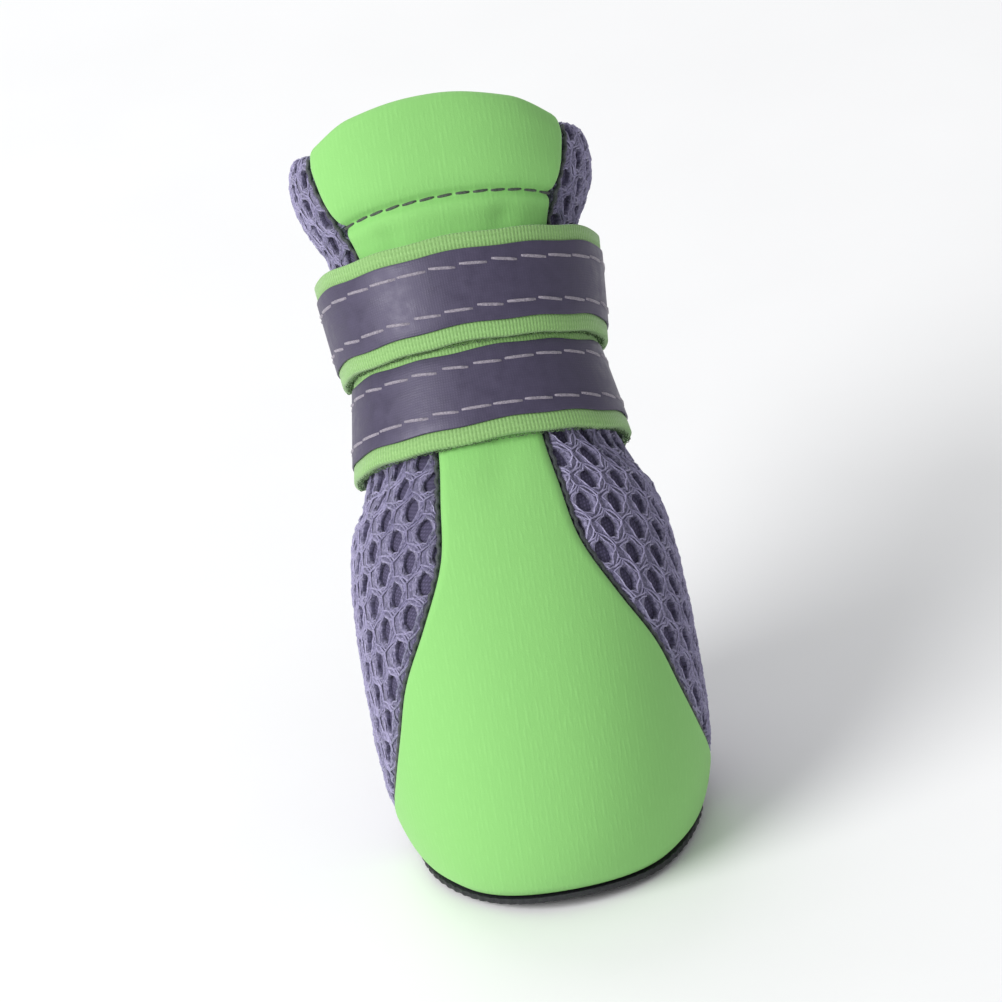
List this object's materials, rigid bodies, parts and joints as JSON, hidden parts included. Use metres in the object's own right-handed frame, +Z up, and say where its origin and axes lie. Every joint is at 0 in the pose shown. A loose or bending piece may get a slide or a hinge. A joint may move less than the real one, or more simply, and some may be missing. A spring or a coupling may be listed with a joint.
{
  "type": "dog boot",
  "caption": "Soft dog boot with a stretch front, air-mesh sides and back, two reflective hook-and-loop straps wound round the ankle, and a flat grip sole.",
  "frame": {"origin": "middle of the sole's flat underside, on the floor", "axes": "the toe points along -Y, +Z is up, +X is to the right when the toe is seen from in front"},
  "size_m": [0.0532, 0.0949, 0.1137],
  "materials": {
    "grip_sole": "black dotted grip rubber",
    "lining": "grey lining fabric",
    "air_mesh": "grey-violet knitted air mesh",
    "neoprene": "bright green knit-faced neoprene",
    "webbing": "ribbed green webbing",
    "reflective_tape": "satin grey reflective tape",
    "hook_fabric": "dark green hook fabric"
  },
  "bodies": {
    "root": {"sole": "grip_sole", "insole": "lining", "upper": "air_mesh", "front_panel": "neoprene", "lower_strap": "webbing", "upper_strap": "webbing", "lower_reflective_tape": "reflective_tape", "upper_reflective_tape": "reflective_tape", "lower_hook_tab": "hook_fabric", "upper_hook_tab": "hook_fabric"}
  },
  "joints": []
}
